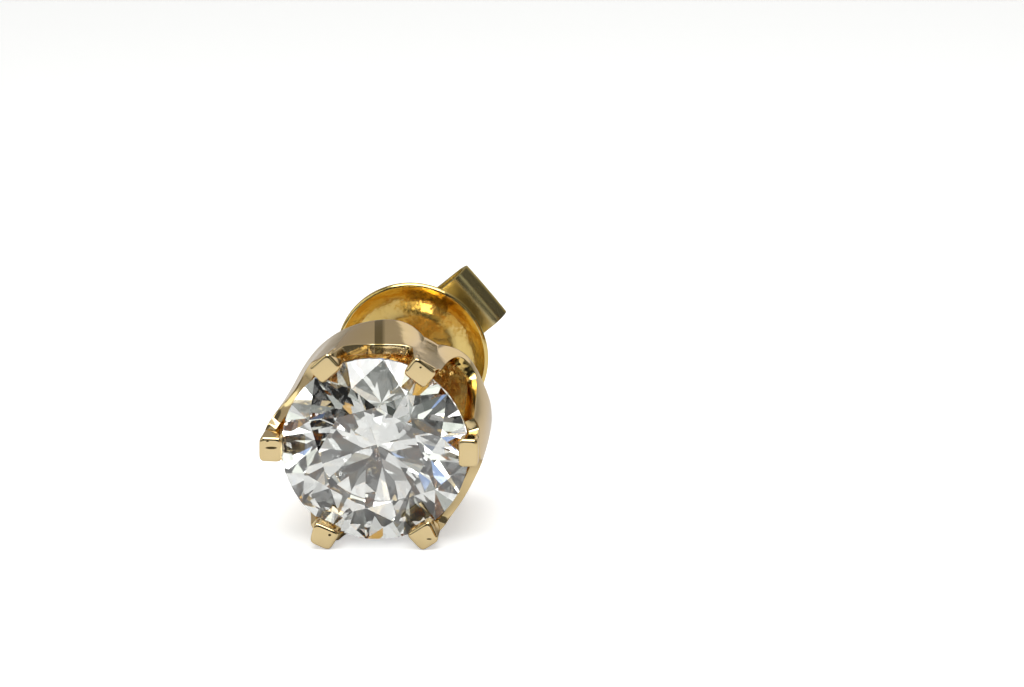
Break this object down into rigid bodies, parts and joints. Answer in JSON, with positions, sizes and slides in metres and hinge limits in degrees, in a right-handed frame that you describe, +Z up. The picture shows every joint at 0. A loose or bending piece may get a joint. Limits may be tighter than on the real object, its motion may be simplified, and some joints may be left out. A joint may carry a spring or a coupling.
{
  "type": "stud earring",
  "caption": "Round brilliant stud: a stone held by square claws in a petal cup, with a straight ear post and a butterfly clutch that slides on it.",
  "frame": {"origin": "on the surface that the stud lies on, under the middle of its box", "axes": "+Z up, +Y from the stone along the post to the clutch, -Y the way the stone faces"},
  "size_m": [0.0078, 0.0158, 0.007],
  "materials": {
    "gold_setting": "polished pale yellow gold with fine hand-finishing marks",
    "brilliant": "clear polished facets",
    "gold_post": "polished pale yellow gold",
    "gold_clutch": "polished yellow gold sheet"
  },
  "bodies": {
    "stud": {"crown_setting": "gold_setting", "stone": "brilliant", "ear_post": "gold_post"},
    "clutch_back": {"clutch": "gold_clutch"}
  },
  "joints": [
    {"name": "clutch_slide", "type": "slide", "parent": "stud", "child": "clutch_back", "axis": [-0.0004, 0.9998, -0.0221], "range_m": [-0.006, 0.0019]}
  ]
}
